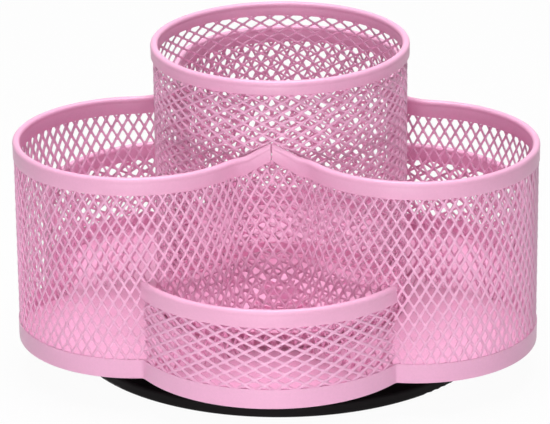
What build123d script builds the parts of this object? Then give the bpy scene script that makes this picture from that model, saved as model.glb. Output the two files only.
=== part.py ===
# Rotating mesh pen holder: a tall cup, three lobes and three low trays on a turntable.
# Millimetres, +Z up, table at z = 0, the photographed front faces -Y.
import os
from math import acos, atan2, cos, degrees, hypot, radians, sin, tan

from build123d import *

os.makedirs("parts", exist_ok=True)

# plan of the compartments
lobe_angles = {"left": 210, "right": 330, "rear": 90}
tray_angles = {"front": 270, "left": 150, "right": 30}
cup_outer_radius = 40.0
lobe_radius = 37.2
lobe_distance = 50.2
tray_radius = 44.9
tray_inset = 11.7
half_lobe_angle = 60
hug_half_angle = 1.5
peak_angle = tray_angles["front"]

# sheet and strip sizes
wall_thickness = 0.8
strip_thickness = 0.7
rim_height = 5.6
cup_rim_height = 4.5
rim_cover = 1.2
rim_round = 0.6
skirt_height = 6.4
skirt_round = 0.5
floor_thickness = 0.8
crease_fillet = 1.5

# coarse diamond openings in the walls, which stand for the fine mesh
opening_strand = 3.0
opening_margin = 1.0
cup_columns = 16
cup_rows = 6
lobe_columns = 8
lobe_rows = 4
notch_columns = 2
tray_columns = 6
tray_rows = 2

# limits used when edges and corners are picked by place or length
same_place = 0.01
long_edge = 5.0

# heights of the rims above the lower edge of the floor pan
cup_height = 89.1
lobe_height = 65.5
tray_height = 32.0
peak_half_width = 9.5
peak_slope = 27
peak_foot_round = 6.0

# turntable stack, from the table upwards
foot_height = 1.8
foot_radius = 6.0
foot_circle = 50.0
foot_recess = 1.2
foot_count = 4
foot_turn = 45
centre_pad_radius = 8.0
base_radius = 68.0
base_thickness = 4.0
base_edge_round = 1.2
race_thickness = 1.4
race_recess = 0.4
race_width = 14.0
ball_radius = 2.0
ball_count = 16
ball_circle = 42.0
ball_clearance = 0.05
race_gap = 3.0
cage_thickness = 1.2
cage_width = 9.0
plate_thickness = 1.4
plate_radius = 54.0

# centre pivot
post_radius = 4.0
post_head_radius = 9.0
post_head_height = 1.6
bush_wall = 1.6
bush_flange_radius = 9.0
bush_flange_height = 1.0
pivot_clearance = 0.05
washer_radius = 8.0
washer_thickness = 1.0
washer_gap = 0.3
nut_width = 10.0
nut_height = 4.0
nut_round = 0.6
post_tip = 1.2

# screws that hold the pan on the turn plate
screw_count = 4
screw_circle = 24.0
screw_head_radius = 3.6
screw_head_height = 1.6
screw_shank_radius = 1.5
screw_turn = 45
cross_width = 0.9
cross_length = 3.6
cross_depth = 0.8

# foot strip inside the cup
cup_foot_height = 5.0
cup_foot_flange = 3.0

# values that follow from the ones above
half_wall = wall_thickness / 2
half_rim = half_wall + strip_thickness
hug_radius = cup_outer_radius + half_rim
meet_angle = half_lobe_angle - hug_half_angle
tray_distance = lobe_distance - tray_inset
foot_run = peak_foot_round * sin(radians(peak_slope))
foot_rise = peak_foot_round * (1 - cos(radians(peak_slope)))
peak_rise = foot_rise + (peak_half_width - foot_run) * tan(radians(peak_slope))
base_bottom = foot_height - foot_recess
base_top = base_bottom + base_thickness
lower_race_bottom = base_top - race_recess
lower_race_top = lower_race_bottom + race_thickness
upper_race_bottom = lower_race_top + race_gap
upper_race_top = upper_race_bottom + race_thickness
ball_level = (lower_race_top + upper_race_bottom) / 2
plate_bottom = upper_race_top - race_recess
pan_bottom = plate_bottom + plate_thickness
floor_top = pan_bottom + floor_thickness
cup_top = pan_bottom + cup_height
lobe_top = pan_bottom + lobe_height
tray_top = pan_bottom + tray_height
bush_radius = post_radius + pivot_clearance + bush_wall
bush_top = floor_top + bush_flange_height
washer_bottom = bush_top + washer_gap
nut_bottom = washer_bottom + washer_thickness
seat = (Align.CENTER, Align.CENTER, Align.MIN)


def disc(distance, angle, radius):
    # the seam of the circle faces the axis, so it vanishes in the union
    return Rot(0, 0, angle) * Pos(distance, 0) * Rot(0, 0, 180) * Circle(radius)


def notch_fillet():
    # the round that touches both a lobe and the cup's rim, and leaves hug_half_angle of the rim touched
    along = lobe_distance * cos(radians(meet_angle))
    room = hug_radius**2 + lobe_distance**2 - 2 * hug_radius * along - lobe_radius**2
    return room / (2 * (lobe_radius + along - hug_radius))


def trefoil(grow):
    outline = Sketch() + Circle(hug_radius + grow)
    for angle in lobe_angles.values():
        outline += disc(lobe_distance, angle, lobe_radius + grow)
    corners = [v for v in outline.vertices() if abs(hypot(v.X, v.Y) - hug_radius - grow) < same_place]
    return fillet(corners, notch_fillet() - grow)


def pan_outline(grow):
    outline = trefoil(grow)
    for angle in tray_angles.values():
        outline += disc(tray_distance, angle, tray_radius + grow)
    return outline


def prism(sketch, bottom, top):
    return extrude(Pos(0, 0, bottom) * sketch, top - bottom)


def ring(outer, inner, bottom, top):
    return prism(Circle(outer) - Circle(inner), bottom, top)


def sector(angle):
    reach = 4 * (lobe_distance + lobe_radius)
    left = (reach * cos(radians(half_lobe_angle)), reach * sin(radians(half_lobe_angle)))
    right = (left[0], -left[1])
    return Rot(0, 0, angle) * Polygon((0, 0), right, left, align=None)


def round_top(rim, level):
    upper = [edge for edge in rim.edges() if edge.bounding_box().min.Z > level - same_place]
    return fillet([edge for edge in upper if edge.length > long_edge], rim_round)


def diamond(radius, angle, level, width, height):
    # a rhombus pushed straight out through a wall of this radius
    shape = Polygon((-width / 2, 0), (0, -height / 2), (width / 2, 0), (0, height / 2))
    out = (cos(radians(angle)), sin(radians(angle)), 0)
    side = Plane((0, 0, level), x_dir=(-out[1], out[0], 0), z_dir=out)
    return extrude(side.offset(radius - 2 * wall_thickness) * shape, 4 * wall_thickness)


def openings(radius, first, last, columns, top, rows, closed=False):
    # staggered rows from the pan's skirt up to a rim's lower edge, with strands of one width between them
    bottom = pan_bottom + skirt_height + opening_margin
    high = (top - opening_margin - bottom) / rows
    step = (last - first) / columns
    wide = radius * radians(step)
    share = 1 - opening_strand * hypot(wide, high) / (wide * high)
    cutters = []
    for row in range(2 * rows - 1):
        shift = row % 2
        for column in range(columns if closed else columns - shift):
            angle = first + step * (column + (1 + shift) / 2)
            cutters.append(diamond(radius, angle, bottom + high * (row + 1) / 2, share * wide, share * high))
    return cutters


def cup_sheet():
    return ring(cup_outer_radius, cup_outer_radius - wall_thickness, floor_top, cup_top - rim_cover)


def cup_wall():
    middle = cup_outer_radius - half_wall
    top = cup_top - cup_rim_height
    return cup_sheet() - openings(middle, 0, 360, cup_columns, top, cup_rows, closed=True)


def cup_rim():
    outer = cup_outer_radius + strip_thickness
    inner = cup_outer_radius - wall_thickness - strip_thickness
    rim = ring(outer, inner, cup_top - cup_rim_height, cup_top)
    return round_top(rim, cup_top) - cup_sheet()


def cup_foot():
    outer = cup_outer_radius - wall_thickness
    upright = ring(outer, outer - strip_thickness, floor_top, floor_top + cup_foot_height)
    flange = ring(outer, outer - cup_foot_flange, floor_top, floor_top + strip_thickness)
    return upright + flange


def lobe_sheet(angle):
    band = (trefoil(half_wall) - trefoil(-half_wall)) & sector(angle)
    return prism(band, floor_top, lobe_top - rim_cover)


def lobe_openings():
    # on the round of a lobe, then on the two hollow flanks that lead to the cup
    top = lobe_top - rim_height
    bend = notch_fillet()
    bend_x = (hug_radius + bend) * cos(radians(meet_angle))
    bend_y = (hug_radius + bend) * sin(radians(meet_angle))
    lean = degrees(atan2(bend_y, bend_x - lobe_distance))
    outside = openings(lobe_radius, -lean, lean, lobe_columns, top, lobe_rows)
    flank = openings(bend, meet_angle - 180, lean - 180, notch_columns, top, lobe_rows)
    outside = [Pos(lobe_distance, 0) * cutter for cutter in outside]
    flank = [Pos(bend_x, bend_y) * cutter for cutter in flank]
    return outside + flank + [mirror(cutter, Plane.XZ) for cutter in flank]


def lobe_wall(angle):
    return lobe_sheet(angle) - [Rot(0, 0, angle) * cutter for cutter in lobe_openings()]


def notch_peak(angle, level):
    # the rims of the two front lobes climb to a low point where they meet the cup
    side = Plane((0, 0, level), x_dir=(-sin(radians(angle)), cos(radians(angle)), 0),
                 z_dir=(cos(radians(angle)), sin(radians(angle)), 0))
    bend = peak_half_width - foot_run
    foot = Line((-peak_half_width, 0), (peak_half_width, 0))
    right = TangentArc((peak_half_width, 0), (bend, foot_rise), tangent=(-1, 0))
    left = TangentArc((-peak_half_width, 0), (-bend, foot_rise), tangent=(1, 0))
    slopes = Polyline((bend, foot_rise), (0, peak_rise), (-bend, foot_rise))
    return extrude(side * make_face([foot, right, *slopes.edges(), left]), 2 * hug_radius)


def lobe_rim(angle):
    band = (trefoil(half_rim) - trefoil(-half_rim)) & sector(angle)
    rim = prism(band, lobe_top - rim_height, lobe_top)
    crest = prism(band, lobe_top, lobe_top + peak_rise)
    if peak_angle in (angle - half_lobe_angle, angle + half_lobe_angle):
        rim += crest & notch_peak(peak_angle, lobe_top)
        rim -= notch_peak(peak_angle, lobe_top - rim_height)
    return round_top(rim, lobe_top) - lobe_sheet(angle)


def tray_strip(angle, half_width, bottom, top):
    arc = disc(tray_distance, angle, tray_radius + half_width)
    arc -= disc(tray_distance, angle, tray_radius - half_width)
    return prism(arc - trefoil(half_wall), bottom, top)


def tray_half_angle():
    # half the arc of a tray between the two lobes that it runs into
    across = lobe_distance * sin(radians(half_lobe_angle))
    along = lobe_distance * cos(radians(half_lobe_angle)) - tray_distance
    gap = hypot(along, across)
    swing = acos((tray_radius**2 + gap**2 - (lobe_radius + half_wall)**2) / (2 * tray_radius * gap))
    return degrees(atan2(across, along) - swing)


def tray_sheet(angle):
    return tray_strip(angle, half_wall, floor_top, tray_top - rim_cover)


def tray_wall(angle):
    end = tray_half_angle() - degrees(opening_margin / tray_radius)
    cutters = openings(tray_radius, -end, end, tray_columns, tray_top - rim_height, tray_rows)
    place = Rot(0, 0, angle) * Pos(tray_distance, 0)
    return tray_sheet(angle) - [place * cutter for cutter in cutters]


def tray_rim(angle):
    rim = tray_strip(angle, half_rim, tray_top - rim_height, tray_top)
    return round_top(rim, tray_top) - tray_sheet(angle)


def floor_pan():
    outer = pan_outline(half_rim)
    outer = fillet(outer.vertices(), crease_fillet)
    pan = prism(outer, pan_bottom, pan_bottom + skirt_height)
    pan = fillet(pan.faces().sort_by(Axis.Z)[0].edges(), skirt_round)
    pan -= prism(pan_outline(half_wall), floor_top, pan_bottom + skirt_height)
    pan -= prism(Circle(bush_radius), pan_bottom, floor_top)
    return pan - screw_holes(pan_bottom, floor_top)


def screw_places(level):
    return [Pos(0, 0, level) * place for place in PolarLocations(screw_circle, screw_count, screw_turn)]


def screw_holes(bottom, top):
    return [place * Cylinder(screw_shank_radius, top - bottom, align=seat) for place in screw_places(bottom)]


def plate_screws():
    screws = []
    for place in screw_places(0):
        shank = Pos(0, 0, plate_bottom) * Cylinder(screw_shank_radius, floor_top - plate_bottom, align=seat)
        head = Pos(0, 0, floor_top) * Cylinder(screw_head_radius, screw_head_height, align=seat)
        head = fillet(head.faces().sort_by(Axis.Z)[-1].edges(), screw_head_height / 2)
        level = floor_top + screw_head_height - cross_depth / 2
        slots = Box(cross_length, cross_width, cross_depth) + Box(cross_width, cross_length, cross_depth)
        screws.append(place * (shank + head - Pos(0, 0, level) * slots))
    return Compound(children=screws)


def turn_plate():
    plate = Pos(0, 0, plate_bottom) * Cylinder(plate_radius, plate_thickness, align=seat)
    plate -= upper_race()
    plate -= Pos(0, 0, plate_bottom) * Cylinder(bush_radius, plate_thickness, align=seat)
    return plate - screw_holes(plate_bottom, pan_bottom)


def race(bottom):
    track = ring(ball_circle + race_width / 2, ball_circle - race_width / 2, bottom, bottom + race_thickness)
    groove = Pos(0, 0, ball_level) * Torus(ball_circle, ball_radius + ball_clearance)
    return track - groove


def lower_race():
    return race(lower_race_bottom)


def upper_race():
    return race(upper_race_bottom)


def bearing_balls():
    places = PolarLocations(ball_circle, ball_count)
    return Compound(children=[Pos(0, 0, ball_level) * place * Sphere(ball_radius) for place in places])


def ball_cage():
    half = cage_thickness / 2
    reach = cage_width / 2
    cage = ring(ball_circle + reach, ball_circle - reach, ball_level - half, ball_level + half)
    return cage - bearing_balls().children


def base_disc():
    base = Pos(0, 0, base_bottom) * Cylinder(base_radius, base_thickness, align=seat)
    base = fillet(base.edges().filter_by(GeomType.CIRCLE), base_edge_round)
    base -= ring(ball_circle + race_width / 2, ball_circle - race_width / 2, lower_race_bottom, base_top)
    base -= pivot_post()
    return base - base_feet().children


def base_feet():
    places = PolarLocations(foot_circle, foot_count, foot_turn)
    pads = [place * Cylinder(foot_radius, foot_height, align=seat) for place in places]
    pads.append(Cylinder(centre_pad_radius, base_bottom, align=seat))
    return Compound(children=pads)


def pivot_post():
    head = Pos(0, 0, base_bottom) * Cylinder(post_head_radius, post_head_height, align=seat)
    height = nut_bottom + nut_height + post_tip - base_bottom
    return head + Pos(0, 0, base_bottom) * Cylinder(post_radius, height, align=seat)


def pivot_bush():
    bore = post_radius + pivot_clearance
    sleeve = ring(bush_radius, bore, plate_bottom, floor_top)
    return sleeve + ring(bush_flange_radius, bore, floor_top, bush_top)


def pivot_washer():
    return ring(washer_radius, post_radius, washer_bottom, nut_bottom)


def pivot_nut():
    nut = prism(RegularPolygon(nut_width / 2, 6, major_radius=False), nut_bottom, nut_bottom + nut_height)
    nut = chamfer(nut.faces().sort_by(Axis.Z)[-1].edges(), nut_round)
    return nut - Pos(0, 0, nut_bottom) * Cylinder(post_radius, nut_height, align=seat)


pieces = {
    "base_disc": base_disc(),
    "base_feet": base_feet(),
    "lower_race": lower_race(),
    "pivot_post": pivot_post(),
    "pivot_washer": pivot_washer(),
    "pivot_nut": pivot_nut(),
    "ball_cage": ball_cage(),
    "bearing_balls": bearing_balls(),
    "upper_race": upper_race(),
    "turn_plate": turn_plate(),
    "pivot_bush": pivot_bush(),
    "plate_screws": plate_screws(),
    "floor_pan": floor_pan(),
    "cup_wall": cup_wall(),
    "cup_rim": cup_rim(),
    "cup_foot": cup_foot(),
}
for side, angle in lobe_angles.items():
    pieces["lobe_wall_" + side] = lobe_wall(angle)
    pieces["lobe_rim_" + side] = lobe_rim(angle)
for side, angle in tray_angles.items():
    pieces["tray_wall_" + side] = tray_wall(angle)
    pieces["tray_rim_" + side] = tray_rim(angle)

for name, piece in pieces.items():
    piece.label = name
    export_step(piece, "parts/" + name + ".step")
    box = piece.bounding_box()
    print(name, len(piece.solids()), "solids", [round(v, 2) for v in (*box.min, *box.max)])
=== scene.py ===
import math

import bpy
from mathutils import Matrix, Vector


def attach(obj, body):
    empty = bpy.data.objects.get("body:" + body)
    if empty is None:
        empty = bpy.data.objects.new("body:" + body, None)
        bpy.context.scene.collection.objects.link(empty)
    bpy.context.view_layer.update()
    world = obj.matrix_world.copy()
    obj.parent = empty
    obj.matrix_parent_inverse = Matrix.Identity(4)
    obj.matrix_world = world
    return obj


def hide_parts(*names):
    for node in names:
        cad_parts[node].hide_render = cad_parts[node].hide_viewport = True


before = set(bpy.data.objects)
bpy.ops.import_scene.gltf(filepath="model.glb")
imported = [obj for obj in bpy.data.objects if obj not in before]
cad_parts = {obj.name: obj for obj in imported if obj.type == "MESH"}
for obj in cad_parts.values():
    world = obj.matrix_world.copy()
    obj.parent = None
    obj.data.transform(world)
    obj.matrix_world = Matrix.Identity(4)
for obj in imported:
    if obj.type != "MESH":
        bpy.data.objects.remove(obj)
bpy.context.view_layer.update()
scene = bpy.context.scene
scene.view_settings.view_transform = "Standard"
mm = 0.001  # sizes below are in millimetres, the scene is in metres
print("frame loaded:", len(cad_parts), "nodes")


def addObject(name, data):
    obj = bpy.data.objects.new(name, data)
    scene.collection.objects.link(obj)
    return obj


# camera, at the photograph's place
cameraView = {
    "lens": 235.3,
    "sensor": 36.0,
    "clip": (0.05, 20.0),  # metres
    "distance": 1149.4,
    "pitch": 21.03,  # degrees down
    "turn": 3.9,  # degrees about +Z
    "roll": -0.57,
    "aimHeight": 41.0,
    "right": -2.1,  # small offsets of the aim in the picture plane
    "up": 1.15,
}


def makeCamera(c):
    pitch, roll = math.radians(c["pitch"]), math.radians(c["roll"])
    right = Vector((1, 0, 0))
    up = Vector((0, math.sin(pitch), math.cos(pitch)))
    forward = Vector((0, math.cos(pitch), -math.sin(pitch)))
    place = Vector((0, 0, c["aimHeight"])) + right * c["right"] + up * c["up"] - forward * c["distance"]
    side = right * math.cos(roll) + up * math.sin(roll)
    top = up * math.cos(roll) - right * math.sin(roll)
    pose = Matrix((side, top, -forward)).transposed().to_4x4()
    pose.translation = place * mm
    data = bpy.data.cameras.new("photoCamera")
    data.lens, data.sensor_width, data.sensor_fit = c["lens"], c["sensor"], "HORIZONTAL"
    data.clip_start, data.clip_end = c["clip"]
    cam = addObject("photoCamera", data)
    cam.matrix_world = Matrix.Rotation(math.radians(c["turn"]), 4, "Z") @ pose
    scene.camera = cam


makeCamera(cameraView)
print("camera set")


# small helpers for node trees
def addNode(tree, kind, inputs=None, **settings):
    node = tree.nodes.new(kind)
    for key, value in settings.items():
        setattr(node, key, value)
    for key, value in (inputs or {}).items():
        if isinstance(value, bpy.types.NodeSocket):
            tree.links.new(value, node.inputs[key])
        else:
            node.inputs[key].default_value = value
    return node


def doMath(tree, operation, *values, clamp=False):
    inputs = dict(enumerate(values))
    return addNode(tree, "ShaderNodeMath", inputs, operation=operation, use_clamp=clamp).outputs[0]


def doVector(tree, operation, inputs):
    return addNode(tree, "ShaderNodeVectorMath", inputs, operation=operation).outputs


def joinAxes(tree, x=0.0, y=0.0, z=0.0):
    return addNode(tree, "ShaderNodeCombineXYZ", {0: x, 1: y, 2: z}).outputs[0]


def splitAxes(tree, vector):
    return addNode(tree, "ShaderNodeSeparateXYZ", {0: vector}).outputs


def newTree(name, kind, inputs, outputs):
    tree = bpy.data.node_groups.new(name, kind)
    for socketName, socketType, default in inputs:
        socket = tree.interface.new_socket(socketName, in_out="INPUT", socket_type=socketType)
        if default is not None:
            socket.default_value = default
    for socketName, socketType in outputs:
        tree.interface.new_socket(socketName, in_out="OUTPUT", socket_type=socketType)
    return tree, tree.nodes.new("NodeGroupInput").outputs, tree.nodes.new("NodeGroupOutput").inputs


# shader groups, which put out a colour, a roughness and a relief
floatIn, colorIn, vectorIn = "NodeSocketFloat", "NodeSocketColor", "NodeSocketVector"
finishOut = [("Color", colorIn), ("Roughness", floatIn), ("Height", floatIn)]


def addNoise(tree, vector, scale, detail):
    return addNode(tree, "ShaderNodeTexNoise", {"Vector": vector, "Scale": scale, "Detail": detail}).outputs[0]


def perMetre(tree, size):
    return doMath(tree, "DIVIDE", 1000.0, size)  # texture scale for a grain size in millimetres


def mixColors(tree, share, a, b):
    # a mix node's colour pair are its inputs 6 and 7
    return addNode(tree, "ShaderNodeMix", {0: share, 6: a, 7: b}, data_type="RGBA").outputs[2]


def variedRoughness(tree, middle, noise, spread):
    swing = doMath(tree, "MULTIPLY_ADD", noise, spread, -spread / 2)
    return doMath(tree, "ADD", swing, middle, clamp=True)


def putOut(tree, out, color, roughness, height):
    for key, socket in (("Color", color), ("Roughness", roughness), ("Height", height)):
        tree.links.new(socket, out[key])
    return tree


powderGrain = {
    "peelDetail": 2.0,
    "fleckScale": 1400.0,
    "fleckMiddle": 0.45,
    "fleckShare": 0.6,
    "cloudScale": 55.0,
    "cloudDetail": 4.0,
    "roughSpread": 0.16,
}


def powderCoatGroup(g):
    tree, given, out = newTree("powderCoat", "ShaderNodeTree", [
        ("Vector", vectorIn, None), ("Color", colorIn, (0.8, 0.4, 0.6, 1)), ("Roughness", floatIn, 0.4),
        ("Peel Size", floatIn, 0.9), ("Shade", floatIn, 0.06)], finishOut)
    where, shade = given["Vector"], given["Shade"]
    peel = addNoise(tree, where, perMetre(tree, given["Peel Size"]), g["peelDetail"])
    fleck = addNode(tree, "ShaderNodeTexVoronoi", {
        "Vector": where, "Scale": g["fleckScale"]}).outputs["Distance"]
    cloud = addNoise(tree, where, g["cloudScale"], g["cloudDetail"])
    drift = doMath(tree, "MULTIPLY", doMath(tree, "SUBTRACT", cloud, 0.5), shade)
    grain = doMath(tree, "MULTIPLY", doMath(tree, "SUBTRACT", fleck, g["fleckMiddle"]), shade)
    change = doMath(tree, "ADD", drift, doMath(tree, "MULTIPLY", grain, g["fleckShare"]))
    value = doMath(tree, "ADD", change, 1.0)
    hue = addNode(tree, "ShaderNodeHueSaturation", {"Color": given["Color"], "Value": value})
    roughness = variedRoughness(tree, given["Roughness"], cloud, g["roughSpread"])
    return putOut(tree, out, hue.outputs[0], roughness, peel)


plasticGrain = {
    "fineScale": 2600.0,
    "fineDetail": 3.0,
    "fineRelief": 0.35,
    "cloudScale": 38.0,
    "cloudDetail": 5.0,
    "dustFrom": 0.45,  # cloud values between which the dust sets in
    "dustTo": 0.8,
    "roughSpread": 0.2,
}


def mouldedGrainGroup(g):
    tree, given, out = newTree("mouldedGrain", "ShaderNodeTree", [
        ("Vector", vectorIn, None), ("Color", colorIn, (0.02, 0.02, 0.02, 1)),
        ("Dust", colorIn, (0.2, 0.2, 0.2, 1)), ("Roughness", floatIn, 0.5), ("Grain Size", floatIn, 0.5),
        ("Dust Amount", floatIn, 0.15)], finishOut)
    where = given["Vector"]
    grain = addNode(tree, "ShaderNodeTexVoronoi", {
        "Vector": where, "Scale": perMetre(tree, given["Grain Size"])}, feature="SMOOTH_F1").outputs["Distance"]
    fine = addNoise(tree, where, g["fineScale"], g["fineDetail"])
    cloud = addNoise(tree, where, g["cloudScale"], g["cloudDetail"])
    speck = addNode(tree, "ShaderNodeMapRange", {
        "Value": cloud, "From Min": g["dustFrom"], "From Max": g["dustTo"]}).outputs[0]
    dust = doMath(tree, "MULTIPLY", doMath(tree, "MULTIPLY", speck, fine), given["Dust Amount"])
    color = mixColors(tree, dust, given["Color"], given["Dust"])
    roughness = variedRoughness(tree, given["Roughness"], cloud, g["roughSpread"])
    height = doMath(tree, "ADD", grain, doMath(tree, "MULTIPLY", fine, g["fineRelief"]))
    return putOut(tree, out, color, roughness, height)


steelGrain = {
    "lineDetail": 3.0,
    "cloudScale": 160.0,
    "cloudDetail": 4.0,
    "roughSpread": 0.3,
}


def turnedSteelGroup(g):
    tree, given, out = newTree("turnedSteel", "ShaderNodeTree", [
        ("Vector", vectorIn, None), ("Color", colorIn, (0.6, 0.6, 0.6, 1)),
        ("Tint", colorIn, (0.6, 0.5, 0.4, 1)), ("Roughness", floatIn, 0.3), ("Line Size", floatIn, 0.3),
        ("Tint Amount", floatIn, 0.3)], finishOut)
    # lines run round the spin axis, so they vary with the radius and the height alone
    x, y, z = splitAxes(tree, given["Vector"])
    radius = doVector(tree, "LENGTH", {0: joinAxes(tree, x, y)})["Value"]
    lines = addNoise(tree, joinAxes(tree, radius, z), perMetre(tree, given["Line Size"]), g["lineDetail"])
    cloud = addNoise(tree, given["Vector"], g["cloudScale"], g["cloudDetail"])
    tinted = doMath(tree, "MULTIPLY", cloud, given["Tint Amount"])
    color = mixColors(tree, tinted, given["Color"], given["Tint"])
    roughness = variedRoughness(tree, given["Roughness"], lines, g["roughSpread"])
    return putOut(tree, out, color, roughness, lines)


powderCoat = powderCoatGroup(powderGrain)
mouldedGrain = mouldedGrainGroup(plasticGrain)
turnedSteel = turnedSteelGroup(steelGrain)


# materials: a group's values, then its relief's strength and depth and the shader's own values
def makeMaterial(name, group, values, bump, depth, metallic=0.0, coat=0.0, specular=0.5):
    mat = bpy.data.materials.new(name)
    mat.use_nodes = True
    tree = mat.node_tree
    where = addNode(tree, "ShaderNodeTexCoord").outputs["Object"]
    finish = addNode(tree, "ShaderNodeGroup", node_tree=group)
    tree.links.new(where, finish.inputs["Vector"])
    for key, value in values.items():
        finish.inputs[key].default_value = value
    relief = addNode(tree, "ShaderNodeBump", {
        "Height": finish.outputs["Height"], "Strength": bump, "Distance": depth * mm})
    shader = tree.nodes["Principled BSDF"].inputs
    shader["Metallic"].default_value = metallic
    shader["Coat Weight"].default_value = coat
    shader["Coat Roughness"].default_value = 0.1
    shader["Specular IOR Level"].default_value = specular
    tree.links.new(finish.outputs["Color"], shader["Base Color"])
    tree.links.new(finish.outputs["Roughness"], shader["Roughness"])
    tree.links.new(relief.outputs[0], shader["Normal"])
    return mat


meshPaint = makeMaterial("meshPaint", powderCoat, {
    "Color": (0.83, 0.42, 0.63, 1), "Roughness": 0.42, "Peel Size": 0.6, "Shade": 0.1},
    bump=0.25, depth=0.05, coat=0.15)
stripPaint = makeMaterial("stripPaint", powderCoat, {
    "Color": (0.83, 0.41, 0.61, 1), "Roughness": 0.45, "Peel Size": 1.1, "Shade": 0.07},
    bump=0.2, depth=0.05, coat=0.06)
panPaint = makeMaterial("panPaint", powderCoat, {
    "Color": (0.83, 0.42, 0.625, 1), "Roughness": 0.42, "Peel Size": 1.1, "Shade": 0.08},
    bump=0.25, depth=0.06, coat=0.15)
platePaint = makeMaterial("platePaint", powderCoat, {
    "Color": (0.018, 0.016, 0.018, 1), "Roughness": 0.4, "Peel Size": 0.8, "Shade": 0.3},
    bump=0.3, depth=0.05)
basePlastic = makeMaterial("basePlastic", mouldedGrain, {
    "Color": (0.004, 0.0028, 0.0034, 1), "Roughness": 0.62, "Dust": (0.03, 0.026, 0.028, 1),
    "Dust Amount": 0.1}, bump=0.35, depth=0.06, specular=0.1)
footRubber = makeMaterial("footRubber", mouldedGrain, {
    "Color": (0.025, 0.024, 0.024, 1), "Roughness": 0.75, "Grain Size": 0.9, "Dust Amount": 0.3},
    bump=0.5, depth=0.08)
cagePlastic = makeMaterial("cagePlastic", mouldedGrain, {
    "Color": (0.68, 0.66, 0.6, 1), "Roughness": 0.45, "Dust": (0.4, 0.37, 0.32, 1), "Dust Amount": 0.35},
    bump=0.2, depth=0.04)
bushPlastic = makeMaterial("bushPlastic", mouldedGrain, {
    "Color": (0.8, 0.38, 0.57, 1), "Roughness": 0.5, "Dust": (0.5, 0.3, 0.4, 1), "Dust Amount": 0.3},
    bump=0.2, depth=0.04)
raceSteel = makeMaterial("raceSteel", turnedSteel, {
    "Color": (0.56, 0.56, 0.57, 1), "Tint": (0.45, 0.42, 0.36, 1), "Roughness": 0.32},
    bump=0.25, depth=0.02, metallic=1.0)
ballSteel = makeMaterial("ballSteel", turnedSteel, {
    "Color": (0.66, 0.66, 0.68, 1), "Tint": (0.55, 0.55, 0.58, 1), "Roughness": 0.16, "Line Size": 0.6},
    bump=0.05, depth=0.01, metallic=1.0)

nodeFinish = {
    "base_disc": basePlastic,
    "base_feet": footRubber,
    "lower_race": raceSteel,
    "upper_race": raceSteel,
    "bearing_balls": ballSteel,
    "ball_cage": cagePlastic,
    "turn_plate": platePaint,
    "plate_screws": panPaint,
    "pivot_post": panPaint,
    "pivot_washer": panPaint,
    "pivot_nut": panPaint,
    "pivot_bush": bushPlastic,
    "floor_pan": panPaint,
    "cup_foot": stripPaint,
}
for nodeName, finish in nodeFinish.items():
    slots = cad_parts[nodeName].data.materials
    slots.clear()
    slots.append(finish)
print("finishes on", len(nodeFinish), "solid pieces")


# plan paths, the same arcs as the solids, run anticlockwise so the outside is on the right
holderPlan = {
    "cupRadius": 39.6,
    "hugRadius": 41.1,
    "hugHalfAngle": 1.5,
    "halfLobeAngle": 60,
    "lobeRadius": 37.2,
    "lobeDistance": 50.2,
    "trayRadius": 44.9,
    "trayDistance": 38.5,
    "halfWall": 0.4,
    "lobes": {"left": 210, "right": 330, "rear": 90},
    "trays": {"front": 270, "left": 150, "right": 30},
    "cupTop": 100.1,
    "lobeTop": 76.5,
    "trayTop": 43.0,
}
pathStep = {"plain": 1.0, "end": 0.3}  # length of a path's straight bits, and near the ends of a lobe


def arc(centre, radius, start, end, step=pathStep["plain"]):
    count = max(2, math.ceil(abs(math.radians(end - start)) * radius / step))
    turns = [math.radians(start + (end - start) * i / count) for i in range(count + 1)]
    return [(centre[0] + radius * math.cos(t), centre[1] + radius * math.sin(t)) for t in turns]


def turned(points, angle):
    c, s = math.cos(math.radians(angle)), math.sin(math.radians(angle))
    return [(x * c - y * s, x * s + y * c) for x, y in points]


def withoutDoubles(points, limit=1e-4):
    return [p for i, p in enumerate(points) if i == 0 or math.dist(p, points[i - 1]) > limit]


# half a lobe is its round, a bend the other way that meets it, and a short run along the cup
def lobePath(plan, angle, margin=0.0):
    hug, radius, reach = plan["hugRadius"], plan["lobeRadius"], plan["lobeDistance"]
    meet = plan["halfLobeAngle"] - plan["hugHalfAngle"]
    along = reach * math.cos(math.radians(meet))
    bend = (hug**2 + reach**2 - 2 * hug * along - radius**2) / (2 * (radius + along - hug))
    bendX = (hug + bend) * math.cos(math.radians(meet))
    bendY = (hug + bend) * math.sin(math.radians(meet))
    lean = math.degrees(math.atan2(bendY, bendX - reach))
    half = arc((reach, 0), radius, 0, lean)
    half += arc((bendX, bendY), bend, lean - 180, meet - 180)
    half += arc((0, 0), hug, meet, plan["halfLobeAngle"] + margin, pathStep["end"])
    return withoutDoubles(turned([(x, -y) for x, y in reversed(half)] + half, angle))


# a tray runs until it meets the outside of the lobe beside it
def trayPath(plan, angle, margin=0.0):
    lobe = turned([(plan["lobeDistance"], 0)], plan["halfLobeAngle"])[0]
    toLobe = (lobe[0] - plan["trayDistance"], lobe[1])
    gap, radius, wall = math.hypot(*toLobe), plan["trayRadius"], plan["lobeRadius"] + plan["halfWall"]
    swing = math.degrees(math.acos((radius**2 + gap**2 - wall**2) / (2 * radius * gap)))
    end = math.degrees(math.atan2(toLobe[1], toLobe[0])) - swing + margin
    return turned(arc((plan["trayDistance"], 0), radius, -end, end), angle)


def cupPath(plan):
    return arc((0, 0), plan["cupRadius"], 0, 360)[:-1]


def pathLength(points):
    return sum(math.dist(a, b) for a, b in zip(points, points[1:]))


def atHeight(points, z):
    return [(x, y, z) for x, y in points]


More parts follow.
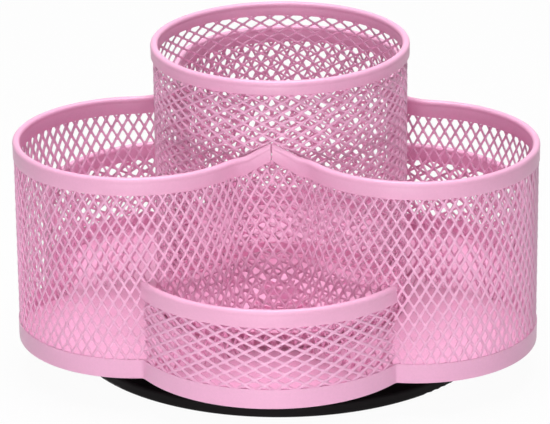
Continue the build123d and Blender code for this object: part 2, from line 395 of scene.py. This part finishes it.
def polyCurve(name, runs, closed):
    data = bpy.data.curves.new(name, "CURVE")
    data.dimensions = "3D"
    for points in runs:
        line = data.splines.new("POLY")
        line.points.add(len(points) - 1)
        for spot, (x, y, z) in zip(line.points, points):
            spot.co = (x * mm, y * mm, z * mm, 1)
        line.use_cyclic_u = closed
    return addObject(name, data)


# runs a tree on a path and keeps the result as a plain mesh on one body
def grow(name, path, tree, values, body, node):
    modifier = path.modifiers.new(name, "NODES")
    modifier.node_group = tree
    for item in tree.interface.items_tree:
        if item.in_out == "INPUT" and item.name in values:
            modifier[item.identifier] = values[item.name]
    depsgraph = bpy.context.evaluated_depsgraph_get()
    mesh = bpy.data.meshes.new_from_object(path.evaluated_get(depsgraph), depsgraph=depsgraph)
    bpy.data.objects.remove(path)
    mesh.name = name
    obj = addObject(name, mesh)
    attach(obj, body)
    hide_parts(node)
    print(name, len(mesh.polygons), "faces")


# expanded mesh: one diamond with its share of the strands, repeated in staggered rows along a path
meshCell = {
    "thickness": 0.6,
    "edge": 0.46,  # thickness left at the edge of the hole
    "lean": 0.17,  # how far a strand's lower edge, or a side edge in tall cells, stands out of the sheet
    "bluntLong": 0.86,  # how far the hole reaches to the rhombus's long and short tips
    "bluntShort": 0.94,
    "weld": 0.02,
}


def cellObject(name, c, width, height, strand):
    tall = height > width
    a, b = (height / 2, width / 2) if tall else (width / 2, height / 2)
    shrink = 1 - strand / 2 / (a * b / math.hypot(a, b))
    tip, top = c["bluntLong"], c["bluntShort"]
    outer = [(1, 0), (0.5, 0.5), (0, 1), (-0.5, 0.5), (-1, 0), (-0.5, -0.5), (0, -1), (0.5, -0.5)]
    hole = [(tip, tip - 1), (tip, 1 - tip), (0.5, 0.5), (0, top), (-0.5, 0.5),
            (-tip, 1 - tip), (-tip, tip - 1), (-0.5, -0.5), (0, -top), (0.5, -0.5)]
    verts = []
    for side in (1, -1):
        verts += [(x * a, y * b, side * c["thickness"] / 2) for x, y in outer]
        verts += [(x * shrink * a, y * shrink * b, side * c["edge"] / 2 + c["lean"] * y) for x, y in hole]
    if tall:
        verts = [(-y, x, z) for x, y, z in verts]
    # each side's points are the outline's, then the hole's, which has two at each long tip
    o, h = len(outer), len(hole)
    front = [(0, o + 1, o), (o // 2, o + h // 2 + 1, o + h // 2)]
    for i in range(o):
        near = i + 1 + i // (o // 2)
        front.append((i, (i + 1) % o, o + (near + 1) % h, o + near))
    back = [tuple(o + h + i for i in reversed(face)) for face in front]
    wall = [(o + i, o + (i + 1) % h, 2 * o + h + (i + 1) % h, 2 * o + h + i) for i in range(h)]
    mesh = bpy.data.meshes.new(name)
    mesh.from_pydata([(x * mm, y * mm, z * mm) for x, y, z in verts], [], front + back + wall)
    return addObject(name, mesh)


def meshWallTree(c):
    tree, given, out = newTree("meshWall", "GeometryNodeTree", [
        ("Path", "NodeSocketGeometry", None), ("Cell", "NodeSocketObject", None),
        ("Columns", "NodeSocketInt", 10), ("Rows", "NodeSocketInt", 10),
        ("Cell Width", floatIn, 0.006), ("Row Step", floatIn, 0.002), ("Start", floatIn, 0.0),
        ("Bottom", floatIn, 0.0), ("Trim End", "NodeSocketBool", False), ("Paint", "NodeSocketMaterial", None)],
        [("Wall", "NodeSocketGeometry")])
    width, columns, rows = given["Cell Width"], given["Columns"], given["Rows"]
    lastColumn, lastRow = (doMath(tree, "SUBTRACT", count, 1.0) for count in (columns, rows))
    sizeX = doMath(tree, "MULTIPLY", lastColumn, width)
    sizeY = doMath(tree, "MULTIPLY", lastRow, given["Row Step"])
    grid = addNode(tree, "GeometryNodeMeshGrid", {
        "Size X": sizeX, "Size Y": sizeY, "Vertices X": columns, "Vertices Y": rows})
    # every other row is half a cell on, and an open sheet has one cell less there
    index = addNode(tree, "GeometryNodeInputIndex").outputs[0]
    odd = doMath(tree, "MODULO", doMath(tree, "MODULO", index, rows), 2.0)
    column = doMath(tree, "FLOOR", doMath(tree, "DIVIDE", index, rows))
    atEnd = doMath(tree, "COMPARE", column, lastColumn)
    drop = doMath(tree, "MULTIPLY", doMath(tree, "MULTIPLY", atEnd, odd), given["Trim End"])
    halfCell = doMath(tree, "MULTIPLY", width, 0.5)
    toStart = doMath(tree, "ADD", doMath(tree, "MULTIPLY", sizeX, 0.5), halfCell)
    shift = doMath(tree, "ADD", doMath(tree, "MULTIPLY", odd, halfCell), given["Start"])
    toBottom = doMath(tree, "ADD", doMath(tree, "MULTIPLY", sizeY, 0.5), given["Bottom"])
    move = joinAxes(tree, doMath(tree, "ADD", toStart, shift), toBottom)
    spots = addNode(tree, "GeometryNodeSetPosition", {"Geometry": grid.outputs[0], "Offset": move})
    kept = addNode(tree, "GeometryNodeDeleteGeometry", {"Geometry": spots.outputs[0], "Selection": drop})
    cell = addNode(tree, "GeometryNodeObjectInfo", {"Object": given["Cell"]})
    placed = addNode(tree, "GeometryNodeInstanceOnPoints", {
        "Points": kept.outputs[0], "Instance": cell.outputs["Geometry"]})
    flat = addNode(tree, "GeometryNodeRealizeInstances", {0: placed.outputs[0]})
    # wrap the flat sheet round the path
    x, y, z = splitAxes(tree, addNode(tree, "GeometryNodeInputPosition").outputs[0])
    length = addNode(tree, "GeometryNodeCurveLength", {0: given["Path"]}).outputs[0]
    sample = addNode(tree, "GeometryNodeSampleCurve", {
        "Curves": given["Path"], "Length": doMath(tree, "FLOORED_MODULO", x, length)}, mode="LENGTH").outputs
    across = doVector(tree, "CROSS_PRODUCT", {0: sample["Tangent"], 1: (0, 0, 1)})[0]
    outward = doVector(tree, "NORMALIZE", {0: across})[0]
    push = doVector(tree, "SCALE", {0: outward, "Scale": z})[0]
    onPath = doVector(tree, "ADD", {0: sample["Position"], 1: push})[0]
    spot = doVector(tree, "ADD", {0: onPath, 1: joinAxes(tree, z=y)})[0]
    bent = addNode(tree, "GeometryNodeSetPosition", {"Geometry": flat.outputs[0], "Position": spot})
    joined = addNode(tree, "GeometryNodeMergeByDistance", {
        "Geometry": bent.outputs[0], "Distance": c["weld"] * mm})
    smooth = addNode(tree, "GeometryNodeSetShadeSmooth", {"Geometry": joined.outputs[0]})
    painted = addNode(tree, "GeometryNodeSetMaterial", {
        "Geometry": smooth.outputs[0], "Material": given["Paint"]})
    tree.links.new(painted.outputs[0], out["Wall"])
    return tree


meshWall = meshWallTree(meshCell)


def meshSheet(name, node, points, sheet, closed=False):
    run = pathLength(points + points[:1] if closed else points) - 2 * sheet["margin"]
    columns = round(run / sheet["cellWidth"])
    width, height = run / columns, sheet["cellHeight"]
    rows = 2 * int((sheet["top"] - sheet["bottom"]) / height)
    cell = cellObject(name + "Cell", meshCell, width, height, sheet["strand"])
    path = polyCurve(name + "Path", [atHeight(points, 0)], closed)
    grow(name, path, meshWall, {
        "Cell": cell, "Columns": columns, "Rows": rows, "Cell Width": width * mm,
        "Row Step": height / 2 * mm, "Start": sheet["margin"] * mm,
        "Bottom": (sheet["bottom"] + height / 2) * mm, "Trim End": sheet["trim"],
        "Paint": meshPaint}, "carousel", node)
    bpy.data.objects.remove(cell)


# overrun is how many degrees a path runs on past the solid's wall, margin is the length left bare at its ends,
# and trim leaves out the cells that would stand half past its end
cupMesh = {
    "cellWidth": 5.95,
    "cellHeight": 3.45,
    "strand": 0.58,
    "bottom": 11.9,
    "top": 98.9,
    "margin": 0.0,
    "trim": False,
}
lobeMesh = {
    "cellWidth": 3.5,
    "cellHeight": 6.05,
    "strand": 0.66,
    "bottom": 11.6,
    "top": 75.3,
    "overrun": 2.5,
    "margin": 1.793,
    "trim": False,
}
trayMesh = {
    "cellWidth": 6.08,
    "cellHeight": 3.5,
    "strand": 0.74,
    "bottom": 11.6,
    "top": 41.8,
    "overrun": 0.5,
    "margin": 0.3962,
    "trim": True,
}

# the mesh is welded to the outer half of each strip, so its paths run a little outside the strips' middle
outset = {"cupRadius": 0.1, "lobeRadius": 0.5, "trayRadius": 0.5}
meshPlan = dict(holderPlan)
for key, value in outset.items():
    meshPlan[key] += value

meshSheet("cupMesh", "cup_wall", cupPath(meshPlan), cupMesh, closed=True)
for side, angle in meshPlan["lobes"].items():
    path = lobePath(meshPlan, angle, lobeMesh["overrun"])
    meshSheet("lobeMesh_" + side, "lobe_wall_" + side, path, lobeMesh)
for side, angle in meshPlan["trays"].items():
    path = trayPath(meshPlan, angle, trayMesh["overrun"])
    meshSheet("trayMesh_" + side, "tray_wall_" + side, path, trayMesh)
print("mesh walls done")

# rolled strip rims: half of the outline, the roll as (outward, down from the top)
rimStrip = {
    "roll": [(0.0, 0.0), (0.45, 0.05), (0.82, 0.24), (1.07, 0.58), (1.16, 1.0), (1.14, 1.4), (1.07, 1.66),
             (1.06, 1.84), (1.08, 2.02), (1.1, 2.25)],
    "edge": [(1.1, 0.35), (1.0, 0.1), (0.8, 0.0)],  # as (outward, up from the lower edge)
    "height": 5.6,
    "cupHeight": 4.5,
    "riseHalfWidth": 9.5,  # the rims climb this far from where the front lobes meet
    "riseSlope": 27.0,
    "riseFoot": 6.0,
    "endGap": 0.5,  # degrees of the cup between a rim's end and the line where two lobes meet
    "tongue": 5.6,  # at the front the right rim's end, set back, runs from that line to this distance
    "shoulder": 4.2,  # where its full width starts
    "tongueInset": (0.6, 0.3),  # how far the tongue lies back and down
}


def rimProfile(strip, height):
    half = strip["roll"] + [(x, height - y) for x, y in strip["edge"]]
    ring = half + [(-x, y) for x, y in reversed(half[1:])]
    return polyCurve("rimProfile", [atHeight(ring, 0)], closed=True)


def rimTree():
    tree, given, out = newTree("rolledRim", "GeometryNodeTree", [
        ("Path", "NodeSocketGeometry", None), ("Profile", "NodeSocketObject", None),
        ("Paint", "NodeSocketMaterial", None)], [("Rim", "NodeSocketGeometry")])
    # the strip is swept level and lifted after, so that its ends stay upright where it climbs
    height = splitAxes(tree, addNode(tree, "GeometryNodeInputPosition").outputs[0])[2]
    path = addNode(tree, "GeometryNodeCaptureAttribute", {0: given["Path"]})
    path.capture_items.new("FLOAT", "Lift")
    tree.links.new(height, path.inputs["Lift"])
    lower = joinAxes(tree, z=doMath(tree, "MULTIPLY", height, -1.0))
    level = addNode(tree, "GeometryNodeSetPosition", {"Geometry": path.outputs[0], "Offset": lower})
    upright = addNode(tree, "GeometryNodeSetCurveNormal", {"Curve": level.outputs[0]}, mode="Z_UP")
    profile = addNode(tree, "GeometryNodeObjectInfo", {"Object": given["Profile"]})
    swept = addNode(tree, "GeometryNodeCurveToMesh", {
        "Curve": upright.outputs[0], "Profile Curve": profile.outputs["Geometry"], "Fill Caps": True})
    real = addNode(tree, "GeometryNodeRealizeInstances", {0: swept.outputs[0]})
    lift = joinAxes(tree, z=path.outputs["Lift"])
    lifted = addNode(tree, "GeometryNodeSetPosition", {"Geometry": real.outputs[0], "Offset": lift})
    smooth = addNode(tree, "GeometryNodeSetShadeSmooth", {"Geometry": lifted.outputs[0]})
    painted = addNode(tree, "GeometryNodeSetMaterial", {
        "Geometry": smooth.outputs[0], "Material": given["Paint"]})
    tree.links.new(painted.outputs[0], out["Rim"])
    return tree


# how far a rim has climbed at a distance from the line: a round foot, then a straight slope
def riseAt(strip, aside):
    slope, foot = math.radians(strip["riseSlope"]), strip["riseFoot"]
    run = max(0.0, strip["riseHalfWidth"] - aside)
    bend = foot * math.sin(slope)
    if run < bend:
        return foot - math.sqrt(foot**2 - run**2)
    return foot * (1 - math.cos(slope)) + (run - bend) * math.tan(slope)


rolledRim = rimTree()


def stripRim(name, node, runs, height, closed=False):
    path, shape = polyCurve(name + "Path", runs, closed), rimProfile(rimStrip, height)
    grow(name, path, rolledRim, {"Profile": shape, "Paint": stripPaint}, "carousel", node)
    bpy.data.objects.remove(shape)


def climbingRim(strip, plan, side, margin):
    points = lobePath(plan, plan["lobes"][side], margin)
    return [(x, y, plan["lobeTop"] + (riseAt(strip, abs(x)) if y < 0 else 0.0)) for x, y in points]


def lobeRuns(strip, plan, side):
    run = climbingRim(strip, plan, side, -strip["endGap"])
    if side != "right":
        return [run]
    back, down = strip["tongueInset"]
    whole = climbingRim(strip, plan, side, 0.0)
    tongue = [(x, y + back, z - down) for x, y, z in whole if y < 0 and x < strip["tongue"]]
    return [[p for p in run if p[1] > 0 or p[0] > strip["shoulder"]], tongue]


stripRim("cupRim", "cup_rim", [atHeight(cupPath(holderPlan), holderPlan["cupTop"])], rimStrip["cupHeight"],
         closed=True)
for side in holderPlan["lobes"]:
    stripRim("lobeRim_" + side, "lobe_rim_" + side, lobeRuns(rimStrip, holderPlan, side), rimStrip["height"])
for side, angle in holderPlan["trays"].items():
    level = atHeight(trayPath(holderPlan, angle), holderPlan["trayTop"])
    stripRim("trayRim_" + side, "tray_rim_" + side, [level], rimStrip["height"])
print("rims done")

# stage: pale floor, soft boxes and a white surround, in metres and watts
studio = {
    "floorSize": 6.0,
    "floorColor": (0.68, 0.68, 0.68, 1),
    "floorGlow": 0.96,  # share of plain white that the camera sees on the floor
    "ambient": 0.08,
    "aim": (0.0, 0.0, 0.04),
    "boxes": {  # name: (place, size, power)
        "top": ((0.0, 0.02, 0.8), 0.45, 6.9),
        "front": ((-0.03, -0.58, 0.03), 0.14, 1.95),
        "key": ((-0.9, -1.0, 0.6), 1.0, 1.4),
        "fill": ((1.0, -0.9, 0.5), 1.0, 1.9),
    },
}


def emptyTree(owner):
    owner.use_nodes = True
    owner.node_tree.nodes.clear()
    return owner.node_tree


# 1 where the background itself is seen, by the camera, in a reflection or through glass
def seenShare(tree):
    light = addNode(tree, "ShaderNodeLightPath").outputs
    seen = doMath(tree, "MAXIMUM", light["Is Camera Ray"], light["Is Glossy Ray"])
    return doMath(tree, "MAXIMUM", seen, light["Is Transmission Ray"])


def makeFloor(s):
    half = s["floorSize"] / 2
    corners = [(-half, -half, 0), (half, -half, 0), (half, half, 0), (-half, half, 0)]
    mesh = bpy.data.meshes.new("floor")
    mesh.from_pydata(corners, [], [(0, 1, 2, 3)])
    floor = addObject("floor", mesh)
    mat = bpy.data.materials.new("floorPaper")
    tree = emptyTree(mat)
    paper = addNode(tree, "ShaderNodeBsdfDiffuse", {"Color": s["floorColor"]})
    white = addNode(tree, "ShaderNodeEmission", {"Color": (1, 1, 1, 1), "Strength": 1.0})
    share = doMath(tree, "MULTIPLY", seenShare(tree), s["floorGlow"])
    blend = addNode(tree, "ShaderNodeMixShader", {0: share, 1: paper.outputs[0], 2: white.outputs[0]})
    addNode(tree, "ShaderNodeOutputMaterial", {"Surface": blend.outputs[0]}, is_active_output=True)
    mesh.materials.append(mat)


def makeWorld(s):
    scene.world = bpy.data.worlds.new("studio")
    tree = emptyTree(scene.world)
    strength = addNode(tree, "ShaderNodeMix", {0: seenShare(tree), 2: s["ambient"], 3: 1.0}, data_type="FLOAT")
    sky = addNode(tree, "ShaderNodeBackground", {"Color": (1, 1, 1, 1), "Strength": strength.outputs[0]})
    addNode(tree, "ShaderNodeOutputWorld", {"Surface": sky.outputs[0]})


def makeLamps(s):
    for name, (place, size, power) in s["boxes"].items():
        lamp = bpy.data.lights.new(name, "AREA")
        lamp.shape, lamp.size, lamp.energy = "SQUARE", size, power
        box = addObject(name, lamp)
        box.location = place
        box.rotation_mode = "QUATERNION"
        box.rotation_quaternion = (Vector(s["aim"]) - Vector(place)).to_track_quat("-Z", "Y")


makeFloor(studio)
makeWorld(studio)
makeLamps(studio)
print("stage set")
